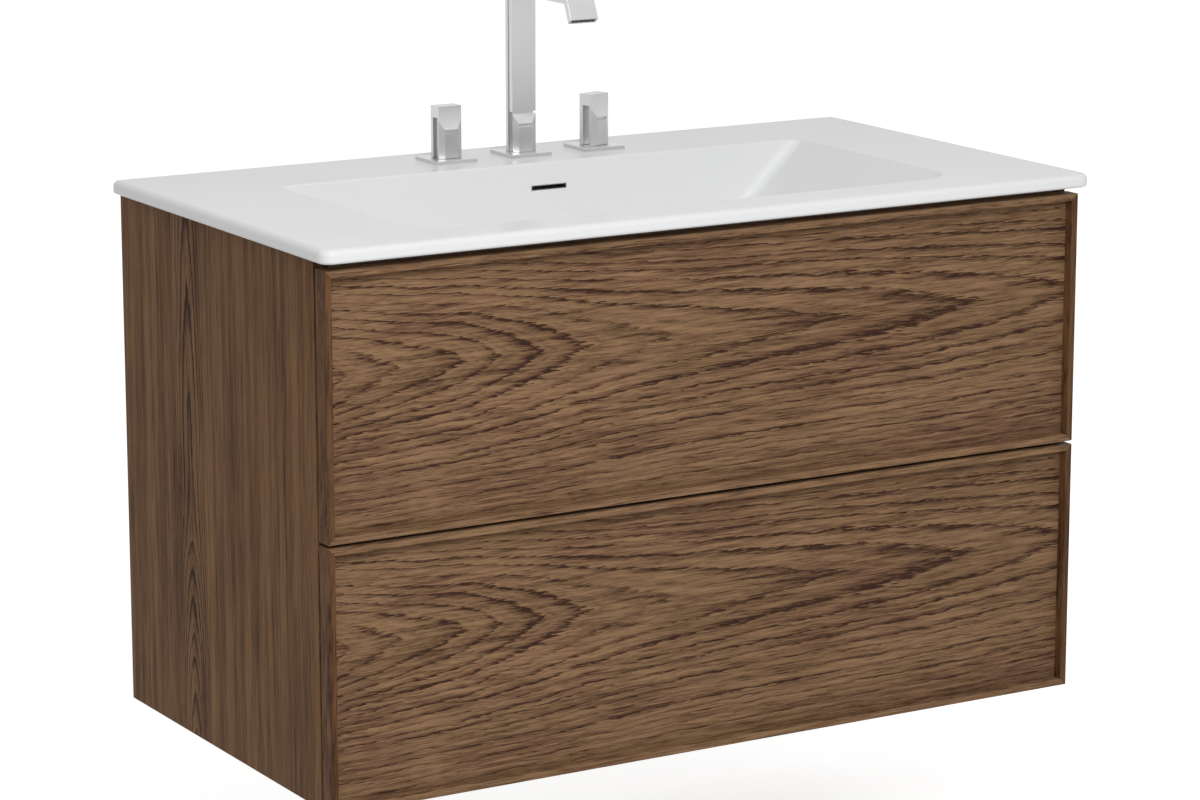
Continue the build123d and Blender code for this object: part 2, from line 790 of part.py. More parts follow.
def spout_nodes():
    place = (0, -tap_from_wall)
    back = -tap_from_wall + column_depth / 2
    front = back - column_depth
    half = column_width / 2
    head_z = deck_top + spout_height
    column = block((-half, half), (front, back), (plate_top, head_z))
    groove_z = (plate_top - cut_past, head_z - arm_thickness)
    pocket_z = (plate_top - cut_past, plate_top + pocket_height)
    for groove_width, depth, z_range in (
        (column_groove_width, column_groove_depth, groove_z),
        (pocket_width, column_pocket_depth, pocket_z),
    ):
        for groove in side_grooves(column_width, back, groove_width, depth, z_range):
            column -= groove
    column += foot_block(column_width, front, plate_top)
    column -= foot_groove(front, plate_top, column_foot_groove_depth)

    mouth = mouth_plane(front)
    spout = column + spout_arm(front)
    spout -= mouth * Pos(0, 0, -outlet_depth / 2) * Box(outlet_width, outlet_height, outlet_depth)
    insert_depth = outlet_depth - outlet_recess
    insert_width = outlet_width - 2 * outlet_clearance
    insert_height = outlet_height - 2 * outlet_clearance
    insert = Pos(0, 0, -outlet_depth + insert_depth / 2) * Box(insert_width, insert_height, insert_depth)

    spigot_top = plate_top + spout_spigot_length
    spigot_hole = spout_spigot_radius + spigot_clearance
    spout -= upright(place, (plate_top - cut_past, spigot_top), spigot_hole)
    shank = upright(place, (shank_low, deck_top), shank_radius)
    shank += upright(place, (deck_top, spigot_top - touch_gap), spout_spigot_radius)
    return {
        "spout": spout,
        "spout_plate": tap_plate(0, spout_spigot_radius + boss_clearance),
        "spout_outlet": mouth * insert,
        "spout_shank": shank,
    }


def back_nuts():
    """The three like nuts that pull the tap down on the deck."""
    nuts = []
    for x in tap_stations.values():
        place = (x, -tap_from_wall)
        nuts.append(hexagon_nut(place, (top - back_nut_height, top), back_nut_radius, back_nut_bore))
    return group(nuts)


def all_nodes():
    nodes = {}
    nodes.update(carcass_nodes())
    nodes.update(hanging_nodes())
    nodes.update(lower_drawer_nodes())
    nodes.update(upper_drawer_nodes())
    for name, box_bottom, front_bottom in (
        ("lower", lower_box_bottom, bottom),
        ("upper", upper_box_bottom, upper_front_bottom),
    ):
        nodes.update(runner_nodes(name, box_bottom))
        nodes.update(latch_nodes(name, front_bottom + front_height))
    nodes["basin"] = basin()
    nodes["overflow_trim"] = overflow_trim()
    nodes.update(waste_nodes())
    nodes.update(trap_nodes())
    nodes.update(valve_nodes("hot", hot_handle_turn))
    nodes.update(valve_nodes("cold", cold_handle_turn))
    nodes.update(spout_nodes())
    nodes["back_nuts"] = back_nuts()
    return nodes


os.makedirs("parts", exist_ok=True)
for node, shape in all_nodes().items():
    export_step(shape, "parts/" + node + ".step")
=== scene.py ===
import json
import math

import bmesh
import bpy
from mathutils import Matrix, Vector

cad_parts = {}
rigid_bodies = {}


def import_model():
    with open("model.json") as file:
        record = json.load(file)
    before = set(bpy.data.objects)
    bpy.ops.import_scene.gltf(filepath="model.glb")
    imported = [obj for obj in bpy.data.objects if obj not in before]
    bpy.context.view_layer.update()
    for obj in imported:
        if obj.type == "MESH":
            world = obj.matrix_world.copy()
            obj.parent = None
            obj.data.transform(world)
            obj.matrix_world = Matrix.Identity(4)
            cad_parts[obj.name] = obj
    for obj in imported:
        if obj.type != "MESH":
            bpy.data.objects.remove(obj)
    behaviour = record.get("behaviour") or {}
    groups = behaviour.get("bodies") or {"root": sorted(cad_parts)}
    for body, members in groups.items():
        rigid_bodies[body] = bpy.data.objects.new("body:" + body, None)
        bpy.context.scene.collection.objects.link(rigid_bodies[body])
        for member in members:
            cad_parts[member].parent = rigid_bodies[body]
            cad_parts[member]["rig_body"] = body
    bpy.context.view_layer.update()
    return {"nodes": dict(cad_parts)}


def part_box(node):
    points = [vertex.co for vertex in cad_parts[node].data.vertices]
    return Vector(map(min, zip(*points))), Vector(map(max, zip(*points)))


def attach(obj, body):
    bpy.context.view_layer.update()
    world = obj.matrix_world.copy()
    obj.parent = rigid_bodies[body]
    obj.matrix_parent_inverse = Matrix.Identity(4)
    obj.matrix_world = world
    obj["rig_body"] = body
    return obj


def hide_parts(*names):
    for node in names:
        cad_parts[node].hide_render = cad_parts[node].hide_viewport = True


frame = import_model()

bl_info = {
    "name": "Vanity unit looks",
    "version": (1, 0, 0),
    "blender": (4, 5, 0),
    "location": "3D View > Sidebar > Vanity unit",
    "description": "Finishes the vanity unit's pieces and sets up its studio",
    "category": "Object",
}

# The frame's places, in metres. X runs across the unit, its back is at Y 0, and its front faces minus Y.
MM = 0.001
FRAME_LOW, FRAME_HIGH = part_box("upper_front_frame")
PANEL_LOW, PANEL_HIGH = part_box("upper_front_panel")
LOWER_PANEL_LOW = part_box("lower_front_panel")[0]
SIDE_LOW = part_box("carcass_side_left")[0]
DECK_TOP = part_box("basin")[1].z
LIP_WIDTH = PANEL_LOW.x - FRAME_LOW.x
FRONT_STEP = PANEL_LOW.z - LOWER_PANEL_LOW.z

# Where each crown of the figure ends along the grain, and how far below the face the heart lies there
FRONT_CROWNS = (
    (0, 46), (94, 60), (172, 67), (219, 74), (275, 81),
    (337, 88), (465, 95), (675, 102), (862, 109), (983, 114),
)
SIDE_CROWNS = (
    (0, 20), (54, 25), (92, 28.5), (123, 32), (167, 35.5),
    (204, 39), (235, 42.5), (417, 46), (529, 49.5), (604, 52),
)

# In millimetres: the span of the crowns' curve, the heart's distance in straight grain, a point's width
CURVE_LENGTH = 1000.0
CURVE_HEIGHT = 200.0
STRAIGHT_GRAIN = 400.0
POINT_WIDTH = 10.0

# Lengths of the oak's noise cells in millimetres: along the grain, across it, and into the wood
CELLS = {
    "slow wave": (230, 75, 60),
    "quick wave": (42, 15, 20),
    "jag": (22, 1.5, 4),
    "ring width": (1, 2.6, 1),
    "broken ring": (90, 7, 20),
    "fibre": (42, 1.5, 5),
    "band": (85, 5.5, 12),
    "long band": (420, 13, 40),
    "patch": (280, 85, 80),
    "pore": (11, 0.55, 1.2),
    "warm patch": (200, 45, 60),
}

# The part of each ring that its dark late wood fills, how uneven the rings are, and how weak the weakest is
LATE_WOOD = (0.56, 0.95)
RING_UNEVENNESS = 1.1
WEAKEST_RING = 0.45
LINES_PER_RING = 3.0

# Ranges that noise is cut to, some with the values they are cut to
RING_BREAKS = (0.3, 0.6, 0.35, 1.0)
RING_FADES = (0.3, 1.0, 1.0, 0.25)
LINE_SHAPE = (0.35, 0.9)
LINE_BREAKS = (0.35, 0.6, 0.3, 1.0)
PORE_CUT = (0.56, 0.66)
WARM_CUT = (0.42, 0.62)

# How much each part of the figure lightens or darkens the oak
BASE_TONE = 0.73
PATCH_TONE = 0.5
RING_TONE = -0.95
PORE_TONE = -0.25
LINE_TONE = -0.3

# Metals: zinc's crystals in a metre, the lengths of its drawn lines, and the pitch of the brass threads
ZINC_CRYSTALS = 180.0
DRAWN_LINES = (0.0006, 0.03, 0.0006)
THREAD_PITCH = 0.0015

# The channel behind the overflow slot
CHANNEL_WALL = 0.002
CHANNEL_DROP = 0.03
CHANNEL_DEPTH = 0.012
CHANNEL_EDGE = 0.0004

# How near two corners are one, which bends are flat or sharp, and how an eased edge is made
WELD = 0.000002
TOUCH = 0.000001
FLAT_ANGLE = math.radians(0.5)
SHARP_ANGLE = math.radians(25)
NORMAL_WEIGHT = 50
BEVEL_STEPS = 2

# The studio: camera, key light and floor
CAMERA_PLACE = (-2.3404, -4.1963, 0.7824)
CAMERA_HEADING = math.radians(-30.70)
CAMERA_TILT = math.radians(12.352)
SENSOR_WIDTH = 36.0
KEY_PLACE = Vector((-0.75, -2.85, 1.75))
KEY_AIM = Vector((0, -0.3, -0.2))
KEY_SIZE = 1.8
FLOOR_SIZE = 30
FLOOR_GLOW = 0.66


# Sizes and colours that a user would change

def colour(label, words, value):
    return bpy.props.FloatVectorProperty(
        name=label, description=words, default=value, size=3, subtype="COLOR", min=0, max=1
    )


def length(label, words, value):
    return bpy.props.FloatProperty(
        name=label, description=words, default=value, min=0, unit="LENGTH", subtype="DISTANCE"
    )


def share(label, words, value):
    return bpy.props.FloatProperty(
        name=label, description=words, default=value, min=0, max=1, subtype="FACTOR"
    )


class OakFinish(bpy.types.PropertyGroup):
    light: colour("Light streaks", "The palest streaks of the stained oak", (0.275, 0.162, 0.086))
    field: colour("Field", "The stained oak between its rings", (0.168, 0.095, 0.05))
    warm: colour("Warm patches", "The redder patches of the stained oak", (0.155, 0.082, 0.046))
    dark: colour("Rings", "The darkest rings and pores", (0.042, 0.019, 0.012))
    crown_drop: length("Crown drop", "How far the figure's crowns lie below the panel's top edge", 0.107)
    side_crown: length("Side crown", "How far the side's crown lies from the back", 0.176)
    front_rings: length("Ring spacing", "Distance between the rings on the drawer fronts", 0.007)
    side_rings: length("Side ring spacing", "Distance between the rings on the sides", 0.0035)
    side_tint: colour("Side tint", "How much darker and redder the sides are", (0.77, 0.67, 0.52))
    lipping_tint: colour("Lipping tint", "How much darker the upright lippings are", (0.56, 0.48, 0.42))
    arris: length("Eased edge", "Width of the eased edges of the oak pieces", 0.0005)


class BoardFinish(bpy.types.PropertyGroup):
    light: colour("Light print", "The palest streaks of the faced board", (0.27, 0.185, 0.125))
    field: colour("Board", "The faced board of the carcass and the drawer boxes", (0.2, 0.128, 0.082))
    dark: colour("Dark print", "The darkest streaks of the faced board", (0.11, 0.066, 0.042))


class CeramicFinish(bpy.types.PropertyGroup):
    glaze: colour("Glaze", "The basin's white glaze", (0.775, 0.775, 0.775))
    pooled: colour("Thick glaze", "The glaze where it lies a little thicker", (0.75, 0.755, 0.76))
    gloss: share("Roughness", "Roughness of the glaze", 0.3)


class MetalFinish(bpy.types.PropertyGroup):
    chrome: colour("Chrome", "The tap's and the waste's polished chrome", (0.58, 0.583, 0.586))
    zinc: colour("Zinc", "The zinc plated steel of the runners and brackets", (0.6, 0.61, 0.63))
    rubbed: colour("Rubbed zinc", "The zinc where its edges are rubbed", (0.8, 0.8, 0.81))
    brass: colour("Brass", "The turned brass under the deck", (0.72, 0.55, 0.28))
    arris: length("Eased edge", "Width of the eased edges of the tap", 0.0004)


class MouldedFinish(bpy.types.PropertyGroup):
    latch: colour("Latches", "The grey plastic of the push latches", (0.35, 0.35, 0.36))
    pipe: colour("Pipes", "The white plastic of the trap and its pipes", (0.75, 0.75, 0.73))
    outlet: colour("Outlet", "The black plastic in the spout's mouth", (0.02, 0.02, 0.02))
    # The channel's near-black colour is painted shade, standing for the dark inside of the channel behind the
    # overflow slot.
    channel: colour("Overflow channel", "Painted shade in the channel behind the overflow slot", (0.07, 0.07, 0.07))
    rubber: colour("Rubber", "The black rubber seal", (0.03, 0.03, 0.03))


class Studio(bpy.types.PropertyGroup):
    floor: colour("Floor", "The pale floor", (0.85, 0.85, 0.85))
    deck_height: length("Deck height", "Height of the basin's deck above the floor", 0.85)
    sky: share("Sky", "Strength of the even light from all round", 0.48)
    key: bpy.props.FloatProperty(
        name="Key light", description="Power of the soft light in front", default=60.0, min=0, unit="POWER"
    )
    lens: bpy.props.FloatProperty(
        name="Lens", description="Focal length of the camera", default=120.0, min=1, unit="CAMERA"
    )


FINISHES = {
    "vanity_oak": OakFinish,
    "vanity_board": BoardFinish,
    "vanity_ceramic": CeramicFinish,
    "vanity_metal": MetalFinish,
    "vanity_moulded": MouldedFinish,
    "vanity_studio": Studio,
}


# Node trees

def node(tree, kind, values=None, **settings):
    """A node with its settings, and its inputs set to values or linked to sockets, by name or place."""
    made = tree.nodes.new(kind)
    for name, value in settings.items():
        setattr(made, name, value)
    for place, value in (values or {}).items():
        if isinstance(value, bpy.types.NodeSocket):
            tree.links.new(value, made.inputs[place])
        else:
            made.inputs[place].default_value = value
    return made


def maths(tree, operation, *values):
    return node(tree, "ShaderNodeMath", dict(enumerate(values)), operation=operation).outputs[0]


def remap(tree, value, low, high, to_low=0.0, to_high=1.0, kind="LINEAR"):
    values = {0: value, 1: low, 2: high, 3: to_low, 4: to_high}
    return node(tree, "ShaderNodeMapRange", values, interpolation_type=kind).outputs[0]


def mixed(tree, factor, first, second):
    values = {0: factor, 6: first, 7: second}
    return node(tree, "ShaderNodeMix", values, data_type="RGBA").outputs[2]


def stretched_noise(tree, place, lengths, detail=2.0, roughness=0.5):
    """Noise whose cells have these lengths, in the units of the place it reads."""
    scale = tuple(1 / each for each in lengths)
    near = node(tree, "ShaderNodeVectorMath", {0: place, 1: scale}, operation="MULTIPLY").outputs[0]
    values = {"Vector": near, "Scale": 1.0, "Detail": detail, "Roughness": roughness}
    return node(tree, "ShaderNodeTexNoise", values).outputs[0]


def centred(tree, value):
    """A value between zero and one, moved to lie round zero."""
    return maths(tree, "SUBTRACT", value, 0.5)


def new_group(name, inputs, outputs):
    """A shader node group with its named sockets, its input node and its output node."""
    tree = bpy.data.node_groups.new(name, "ShaderNodeTree")
    for label, kind, value in inputs:
        socket = tree.interface.new_socket(name=label, in_out="INPUT", socket_type="NodeSocket" + kind)
        socket.default_value = value
    for label, kind in outputs:
        tree.interface.new_socket(name=label, in_out="OUTPUT", socket_type="NodeSocket" + kind)
    return tree, tree.nodes.new("NodeGroupInput").outputs, tree.nodes.new("NodeGroupOutput").inputs


def placed_group(tree, name, values):
    return node(tree, "ShaderNodeGroup", values, node_tree=GROUPS[name]()).outputs


def built_once(build):
    """Keeps what a group's function built, so that each group exists once."""
    kept = []

    def get():
        if not kept:
            kept.append(build())
        return kept[0]

    return get


@built_once
def stained_oak():
    """Ring-porous oak cut along the log: rings round the heart, pores and fibres along the grain."""
    numbers = {
        "Along": 0.0, "Across": 0.0, "Depth": 0.0,
        "Heart Distance": STRAIGHT_GRAIN, "Ring Start": 0.0, "Ring Spacing": 7.0,
        "Crown Point": 0.35, "Ring Fade": 190.0, "Ring Strength": 1.1,
        "Wander": 10.0, "Waviness": 5.0, "Jag": 0.75,
        "Fibre": 1.7, "Band": 1.0, "Long Band": 0.4,
    }
    inputs = [(label, "Float", value) for label, value in numbers.items()]
    inputs += [(label, "Color", (1, 1, 1, 1)) for label in ("Light", "Field", "Warm", "Dark")]
    tree, given, out = new_group(
        "Stained oak", inputs, [("Color", "Color"), ("Height", "Float"), ("Roughness", "Float")]
    )
    along, across, depth = (
        maths(tree, "MULTIPLY", given[label], 1 / MM) for label in ("Along", "Across", "Depth")
    )
    place = node(tree, "ShaderNodeCombineXYZ", {0: along, 1: across, 2: depth}).outputs[0]

    # The distance across the grain, bent by slow and quick waves
    slow = centred(tree, stretched_noise(tree, place, CELLS["slow wave"]))
    quick = centred(tree, stretched_noise(tree, place, CELLS["quick wave"]))
    bent = maths(tree, "MULTIPLY_ADD", slow, given["Wander"], across)
    bent = maths(tree, "MULTIPLY_ADD", quick, given["Waviness"], bent)

    # The radius from the heart, with a little more near its line so that each crown ends in a point
    heart = given["Heart Distance"]
    beside = maths(tree, "ABSOLUTE", bent)
    near = maths(tree, "MULTIPLY", beside, POINT_WIDTH)
    near = maths(tree, "DIVIDE", near, maths(tree, "ADD", beside, POINT_WIDTH))
    point = maths(tree, "MULTIPLY", near, heart)
    point = maths(tree, "MULTIPLY", point, maths(tree, "MULTIPLY", given["Crown Point"], 2.0))
    squared = maths(tree, "MULTIPLY_ADD", heart, heart, maths(tree, "MULTIPLY_ADD", beside, beside, point))
    radius = maths(tree, "SQRT", squared)

    # The number of rings out from the first, jagged along the fibres
    fibre_place = node(tree, "ShaderNodeCombineXYZ", {0: along, 1: bent, 2: depth}).outputs[0]
    jag = centred(tree, stretched_noise(tree, fibre_place, CELLS["jag"], roughness=0.55))
    rings_out = maths(tree, "SUBTRACT", radius, given["Ring Start"])
    rings_out = maths(tree, "DIVIDE", rings_out, given["Ring Spacing"])
    ring_place = node(tree, "ShaderNodeCombineXYZ", {0: 0.0, 1: rings_out, 2: 0.0}).outputs[0]
    uneven = centred(tree, stretched_noise(tree, ring_place, CELLS["ring width"], detail=1.0))
    phase = maths(tree, "MULTIPLY_ADD", uneven, RING_UNEVENNESS, rings_out)
    phase = maths(tree, "MULTIPLY_ADD", jag, given["Jag"], phase)

    # Each ring's dark late wood, of its own strength, broken along the grain and fading outwards
    inside = maths(tree, "FRACT", phase)
    rise = remap(tree, inside, *LATE_WOOD, kind="SMOOTHSTEP")
    fall = remap(tree, inside, LATE_WOOD[1], 1.0, 1.0, 0.0, kind="SMOOTHSTEP")
    ring = maths(tree, "MULTIPLY", rise, fall)
    number = maths(tree, "FLOOR", phase)
    chance = node(tree, "ShaderNodeTexWhiteNoise", {"W": number}, noise_dimensions="1D").outputs[0]
    broken = stretched_noise(tree, fibre_place, CELLS["broken ring"])
    outwards = maths(tree, "DIVIDE", beside, given["Ring Fade"])
    for strength in (
        remap(tree, chance, 0.0, 1.0, WEAKEST_RING, 1.0),
        remap(tree, broken, *RING_BREAKS),
        given["Ring Strength"],
        remap(tree, outwards, *RING_FADES),
    ):
        ring = maths(tree, "MULTIPLY", ring, strength)

    # Fibres, bands and patches, pores that gather in the rings, and fine lines between the rings
    fibre = centred(tree, stretched_noise(tree, fibre_place, CELLS["fibre"], 3.0, 0.6))
    band = centred(tree, stretched_noise(tree, fibre_place, CELLS["band"]))
    long_band = centred(tree, stretched_noise(tree, fibre_place, CELLS["long band"]))
    patch = centred(tree, stretched_noise(tree, place, CELLS["patch"]))
    pore = stretched_noise(tree, fibre_place, CELLS["pore"], detail=1.0)
    pore = remap(tree, pore, *PORE_CUT, kind="SMOOTHSTEP")
    pore = maths(tree, "MULTIPLY", pore, maths(tree, "MULTIPLY_ADD", ring, 0.7, 0.3))
    line = maths(tree, "FRACT", maths(tree, "MULTIPLY", phase, LINES_PER_RING))
    line = remap(tree, line, *LINE_SHAPE, kind="SMOOTHSTEP")
    line = maths(tree, "MULTIPLY", line, remap(tree, broken, *LINE_BREAKS))

    tone = BASE_TONE
    for feature, weight in (
        (fibre, given["Fibre"]), (band, given["Band"]), (long_band, given["Long Band"]),
        (patch, PATCH_TONE), (ring, RING_TONE), (pore, PORE_TONE), (line, LINE_TONE),
    ):
        tone = maths(tree, "MULTIPLY_ADD", feature, weight, tone)

    warmth = remap(tree, stretched_noise(tree, place, CELLS["warm patch"], detail=1.0), *WARM_CUT)
    field = mixed(tree, warmth, given["Field"], given["Warm"])
    shade = mixed(tree, remap(tree, tone, 0.0, 0.5), given["Dark"], field)
    shade = mixed(tree, remap(tree, tone, 0.5, 1.0), shade, given["Light"])
    tree.links.new(shade, out["Color"])
    height = maths(tree, "MULTIPLY_ADD", ring, -0.3, maths(tree, "MULTIPLY", fibre, 0.5))
    tree.links.new(maths(tree, "MULTIPLY_ADD", pore, -1.0, height), out["Height"])
    tree.links.new(maths(tree, "MULTIPLY_ADD", tone, -0.1, 0.6), out["Roughness"])
    return tree


@built_once
def edge_wear():
    """One where a surface turns sharply, broken up by noise, and zero on its flats."""
    tree, given, out = new_group(
        "Edge wear", [("Reach", "Float", 0.001), ("Grain", "Float", 0.004)], [("Mask", "Float")]
    )
    rounded = node(tree, "ShaderNodeBevel", {"Radius": given["Reach"]}, samples=6).outputs[0]
    true = node(tree, "ShaderNodeNewGeometry").outputs["Normal"]
    same = node(tree, "ShaderNodeVectorMath", {0: rounded, 1: true}, operation="DOT_PRODUCT").outputs["Value"]
    place = node(tree, "ShaderNodeTexCoord").outputs["Object"]
    scale = maths(tree, "DIVIDE", 1.0, given["Grain"])
    speckle = node(tree, "ShaderNodeTexNoise", {"Vector": place, "Scale": scale, "Detail": 2.0}).outputs[0]
    edge = remap(tree, same, 0.995, 0.9)
    tree.links.new(maths(tree, "MULTIPLY", edge, remap(tree, speckle, 0.4, 0.62)), out["Mask"])
    return tree


@built_once
def surface_variation():
    """Slow and fine unevenness of a surface, for its colour, its gloss and its relief."""
    tree, given, out = new_group(
        "Surface variation",
        [("Slow", "Float", 0.12), ("Fine", "Float", 0.004)],
        [("Clouds", "Float"), ("Speckle", "Float")],
    )
    place = node(tree, "ShaderNodeTexCoord").outputs["Object"]
    for source, target, detail in (("Slow", "Clouds", 2.0), ("Fine", "Speckle", 3.0)):
        scale = maths(tree, "DIVIDE", 1.0, given[source])
        values = {"Vector": place, "Scale": scale, "Detail": detail}
        tree.links.new(node(tree, "ShaderNodeTexNoise", values).outputs[0], out[target])
    return tree


GROUPS = {"Stained oak": stained_oak, "Edge wear": edge_wear, "Surface variation": surface_variation}


# Finishes

def new_finish(name):
    finish = bpy.data.materials.new(name)
    finish.use_nodes = True
    return finish, finish.node_tree, finish.node_tree.nodes["Principled BSDF"]


def opaque(value):
    return (*value, 1.0)


def set_relief(tree, shader, height, deep):
    bump = node(tree, "ShaderNodeBump", {"Height": height, "Distance": deep, "Strength": 1.0})
    tree.links.new(bump.outputs[0], shader.inputs["Normal"])


def worn_edges(tree, reach, grain):
    return placed_group(tree, "Edge wear", {"Reach": reach, "Grain": grain})["Mask"]


def unevenness(tree, slow, fine):
    return placed_group(tree, "Surface variation", {"Slow": slow, "Fine": fine})


def scaled(value, factor):
    return opaque(tuple(min(1.0, factor * each) for each in value))


def object_axes(tree):
    place = node(tree, "ShaderNodeTexCoord").outputs["Object"]
    return node(tree, "ShaderNodeSeparateXYZ", {0: place}).outputs


def heart_curve(tree, along, crowns):
    """The heart's distance below the face, in millimetres, at each place along the grain."""
    curve = tree.nodes.new("ShaderNodeFloatCurve")
    points = curve.mapping.curves[0].points
    while len(points) < len(crowns):
        points.new(0.5, 0.5)
    for point, (distance, height) in zip(points, crowns):
        point.location = (distance / CURVE_LENGTH, height / CURVE_HEIGHT)
        point.handle_type = "AUTO"
    curve.mapping.update()
    tree.links.new(along, curve.inputs["Value"])
    return maths(tree, "MULTIPLY", curve.outputs[0], CURVE_HEIGHT)


def tinted(value, tint):
    return opaque(tuple(one * other for one, other in zip(value, tint)))


def oak_finish(name, axes, shift, crowns=None, spacing=0.006, tint=(1, 1, 1), **character):
    """Stained oak whose grain runs along the first axis.

    The shift is where the figure starts along the grain and where its crowns lie across it.
    """
    colours = bpy.context.scene.vanity_oak
    finish, tree, shader = new_finish(name)
    place = object_axes(tree)
    along = maths(tree, "SUBTRACT", place[axes[0]], shift[0])
    across = maths(tree, "SUBTRACT", place[axes[1]], shift[1])
    heart = heart_curve(tree, along, crowns) if crowns else STRAIGHT_GRAIN
    oak = placed_group(
        tree,
        "Stained oak",
        {
            "Along": along, "Across": across, "Depth": place[axes[2]],
            "Heart Distance": heart, "Ring Start": crowns[1][1] if crowns else 0.0,
            "Ring Spacing": spacing / MM,
            "Light": tinted(colours.light, tint), "Field": tinted(colours.field, tint),
            "Warm": tinted(colours.warm, tint), "Dark": tinted(colours.dark, tint),
            **{words.replace("_", " ").title(): value for words, value in character.items()},
        },
    )
    worn = worn_edges(tree, reach=0.0012, grain=0.006)
    shade = mixed(tree, maths(tree, "MULTIPLY", worn, 0.15), oak["Color"], tinted(colours.light, tint))
    tree.links.new(shade, shader.inputs["Base Color"])
    tree.links.new(oak["Roughness"], shader.inputs["Roughness"])
    shader.inputs["Specular IOR Level"].default_value = 0.06
    set_relief(tree, shader, oak["Height"], 0.00012)
    return finish


def board_finish(name, axes):
    """Faced board with a quiet printed grain along its first axis."""
    colours = bpy.context.scene.vanity_board
    finish, tree, shader = new_finish(name)
    place = object_axes(tree)
    oak = placed_group(
        tree,
        "Stained oak",
        {
            "Along": place[axes[0]], "Across": place[axes[1]], "Depth": place[axes[2]],
            "Heart Distance": 300.0, "Ring Spacing": 9.0, "Ring Strength": 0.35,
            "Light": opaque(colours.light), "Field": opaque(colours.field),
            "Warm": opaque(colours.field), "Dark": opaque(colours.dark),
        },
    )
    worn = worn_edges(tree, reach=0.0012, grain=0.003)
    shade = mixed(tree, maths(tree, "MULTIPLY", worn, 0.5), oak["Color"], opaque(colours.light))
    tree.links.new(shade, shader.inputs["Base Color"])
    tree.links.new(oak["Roughness"], shader.inputs["Roughness"])
    set_relief(tree, shader, oak["Height"], 0.00004)
    return finish


def glaze_finish():
    colours = bpy.context.scene.vanity_ceramic
    finish, tree, shader = new_finish("Basin glaze")
    uneven = unevenness(tree, slow=0.16, fine=0.012)
    thick = remap(tree, uneven["Clouds"], 0.1, 0.9)
    shade = mixed(tree, thick, opaque(colours.glaze), opaque(colours.pooled))
    tree.links.new(shade, shader.inputs["Base Color"])
    gloss = remap(tree, uneven["Clouds"], 0.1, 0.9, colours.gloss - 0.03, colours.gloss + 0.05)
    tree.links.new(gloss, shader.inputs["Roughness"])
    shader.inputs["IOR"].default_value = 1.45
    shader.inputs["Specular IOR Level"].default_value = 0.3
    set_relief(tree, shader, uneven["Speckle"], 0.00003)
    return finish


def chrome_finish():
    colours = bpy.context.scene.vanity_metal
    finish, tree, shader = new_finish("Polished chrome")
    uneven = unevenness(tree, slow=0.03, fine=0.0008)
    shade = mixed(tree, uneven["Clouds"], opaque(colours.chrome), scaled(colours.chrome, 1.06))
    tree.links.new(shade, shader.inputs["Base Color"])
    shader.inputs["Metallic"].default_value = 1.0
    worn = worn_edges(tree, reach=0.0006, grain=0.002)
    gloss = remap(tree, uneven["Clouds"], 0.3, 0.7, 0.29, 0.37)
    tree.links.new(maths(tree, "MULTIPLY_ADD", worn, 0.06, gloss), shader.inputs["Roughness"])
    set_relief(tree, shader, uneven["Speckle"], 0.000004)
    return finish


def zinc_finish():
    """Zinc plate: pale cells, drawn lines along the depth, and rubbed edges."""
    colours = bpy.context.scene.vanity_metal
    finish, tree, shader = new_finish("Zinc plated steel")
    place = node(tree, "ShaderNodeTexCoord").outputs["Object"]
    cells = node(tree, "ShaderNodeTexVoronoi", {"Vector": place, "Scale": ZINC_CRYSTALS}).outputs["Color"]
    cell = node(tree, "ShaderNodeSeparateColor", {0: cells}).outputs[0]
    drawn = stretched_noise(tree, place, DRAWN_LINES, 3.0)
    worn = worn_edges(tree, reach=0.0008, grain=0.002)
    shade = mixed(tree, cell, scaled(colours.zinc, 0.8), opaque(colours.zinc))
    shade = mixed(tree, worn, shade, opaque(colours.rubbed))
    tree.links.new(shade, shader.inputs["Base Color"])
    shader.inputs["Metallic"].default_value = 1.0
    gloss = maths(tree, "MULTIPLY_ADD", cell, 0.12, remap(tree, drawn, 0.3, 0.7, 0.24, 0.36))
    tree.links.new(gloss, shader.inputs["Roughness"])
    set_relief(tree, shader, drawn, 0.00002)
    return finish


def brass_finish():
    """Turned brass with a screw thread's ridges along the upright axis, and painted shade in the grooves
    between them.
    """
    colours = bpy.context.scene.vanity_metal
    finish, tree, shader = new_finish("Turned brass")
    uneven = unevenness(tree, slow=0.02, fine=0.001)
    darker = scaled(colours.brass, 0.72)
    turns = maths(tree, "MULTIPLY", object_axes(tree)["Z"], 2 * math.pi / THREAD_PITCH)
    ridge = maths(tree, "MULTIPLY_ADD", maths(tree, "SINE", turns), 0.5, 0.5)
    shade = mixed(tree, remap(tree, uneven["Clouds"], 0.35, 0.65), darker, opaque(colours.brass))
    # The grooves between the thread's ridges are painted darker, as shade.
    shade = mixed(tree, remap(tree, ridge, 0.0, 0.4, 0.5, 0.0), shade, darker)
    tree.links.new(shade, shader.inputs["Base Color"])
    shader.inputs["Metallic"].default_value = 1.0
    tree.links.new(remap(tree, uneven["Speckle"], 0.3, 0.7, 0.25, 0.4), shader.inputs["Roughness"])
    set_relief(tree, shader, ridge, 0.0004)
    return finish


def moulded_finish(name, shade, grain, deep, gloss):
    """Moulded plastic or rubber: a slightly clouded colour over a fine moulded texture."""
    finish, tree, shader = new_finish(name)
    uneven = unevenness(tree, slow=0.05, fine=grain)
    worn = worn_edges(tree, reach=0.0008, grain=0.002)
    paler = opaque(tuple(min(0.9, 1.25 * value + 0.01) for value in shade))
    tint = mixed(tree, remap(tree, uneven["Clouds"], 0.35, 0.65), opaque(shade), scaled(shade, 0.88))
    tint = mixed(tree, maths(tree, "MULTIPLY", worn, 0.6), tint, paler)
    tree.links.new(tint, shader.inputs["Base Color"])
    roughness = remap(tree, uneven["Speckle"], 0.3, 0.7, gloss - 0.06, gloss + 0.08)
    tree.links.new(roughness, shader.inputs["Roughness"])
    set_relief(tree, shader, uneven["Speckle"], deep)
    return finish


# Modelling

